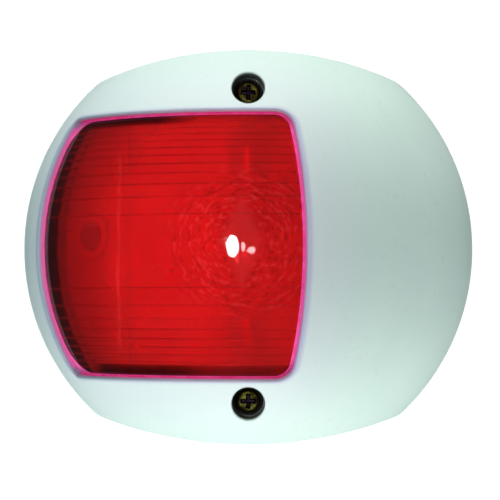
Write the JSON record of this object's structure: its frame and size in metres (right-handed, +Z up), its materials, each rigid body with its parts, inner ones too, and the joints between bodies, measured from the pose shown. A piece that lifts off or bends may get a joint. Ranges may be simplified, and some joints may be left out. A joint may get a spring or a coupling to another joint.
{
  "type": "navigation side light",
  "caption": "Domed boat side light: white housing with a wrap-round red ribbed lens, a festoon lamp in spring contacts, and a base plate that screws to the hull side.",
  "frame": {"origin": "centre of the mounting face, on the back of the gasket", "axes": "+Z up, +Y out of the back towards the hull, -X dead ahead, so +X is aft"},
  "size_m": [0.0918, 0.0377, 0.0798],
  "materials": {
    "housing_white": "satin moulded white with a faint green cast",
    "screen_white": "matt moulded white",
    "carrier_white": "matt insulating plastic",
    "red_lens": "clear polished red acrylic, ribbed inside",
    "lens_sealant": "glossy clear sealant that picks up the lens's red",
    "gasket_foam": "closed-cell foam",
    "seal_rubber": "soft black rubber",
    "screw_brass": "dull aged brass",
    "brass": "bright rolled brass",
    "bright_metal": "bright nickel plate",
    "bulb_glass": "clear glass",
    "filament_wire": "grey tungsten wire"
  },
  "bodies": {
    "base": {"back_gasket": "gasket_foam", "base_plate": "housing_white", "threaded_inserts": "brass", "cover_seal": "seal_rubber", "wire_grommet": "seal_rubber", "light_screen": "screen_white", "screen_rivets": "bright_metal", "lamp_carrier": "carrier_white", "carrier_screws": "bright_metal", "contact_strip_top": "brass", "contact_strip_bottom": "brass", "strip_rivets": "brass", "terminal_nuts": "brass", "terminal_washers": "bright_metal", "terminal_screws": "bright_metal"},
    "cover": {"cover": "housing_white", "lens": "red_lens", "lens_seal": "lens_sealant"},
    "seal_top": {"screw_seal_top": "seal_rubber"},
    "seal_bottom": {"screw_seal_bottom": "seal_rubber"},
    "screw_top": {"cover_screw_top": "screw_brass"},
    "screw_bottom": {"cover_screw_bottom": "screw_brass"},
    "arm_top": {"contact_arm_top": "brass"},
    "arm_bottom": {"contact_arm_bottom": "brass"},
    "bulb": {"bulb_glass": "bulb_glass", "bulb_caps": "bright_metal", "filament": "filament_wire", "filament_leads": "bright_metal"}
  },
  "joints": [
    {"name": "cover_lift", "type": "slide", "parent": "base", "child": "cover", "axis": [0, -1, 0], "range_m": [0, 0.06]},
    {"name": "screw_top_travel", "type": "slide", "parent": "cover", "child": "seal_top", "axis": [0, -1, 0], "range_m": [0, 0.008]},
    {"name": "screw_top_turn", "type": "hinge", "parent": "seal_top", "child": "screw_top", "pos_m": [0, -0.018, 0.0302], "axis": [0, -1, 0], "range_deg": [0, 3600]},
    {"name": "screw_bottom_travel", "type": "slide", "parent": "cover", "child": "seal_bottom", "axis": [0, -1, 0], "range_m": [0, 0.008]},
    {"name": "screw_bottom_turn", "type": "hinge", "parent": "seal_bottom", "child": "screw_bottom", "pos_m": [0, -0.018, -0.0302], "axis": [0, -1, 0], "range_deg": [0, 3600]},
    {"name": "bulb_out", "type": "slide", "parent": "base", "child": "bulb", "axis": [0, -1, 0], "range_m": [0, 0.009]},
    {"name": "arm_top_flex", "type": "hinge", "parent": "base", "child": "arm_top", "pos_m": [0, -0.00595, 0.01945], "axis": [-1, 0, 0], "range_deg": [0, 6], "stiffness_Nm_per_rad": 0.05},
    {"name": "arm_bottom_flex", "type": "hinge", "parent": "base", "child": "arm_bottom", "pos_m": [0, -0.00595, -0.01945], "axis": [1, 0, 0], "range_deg": [0, 6], "stiffness_Nm_per_rad": 0.05}
  ],
  "couplings": [
    {"joint": "screw_top_turn", "follows": "screw_top_travel", "rad_per_m": 7854},
    {"joint": "screw_bottom_turn", "follows": "screw_bottom_travel", "rad_per_m": 7854}
  ]
}
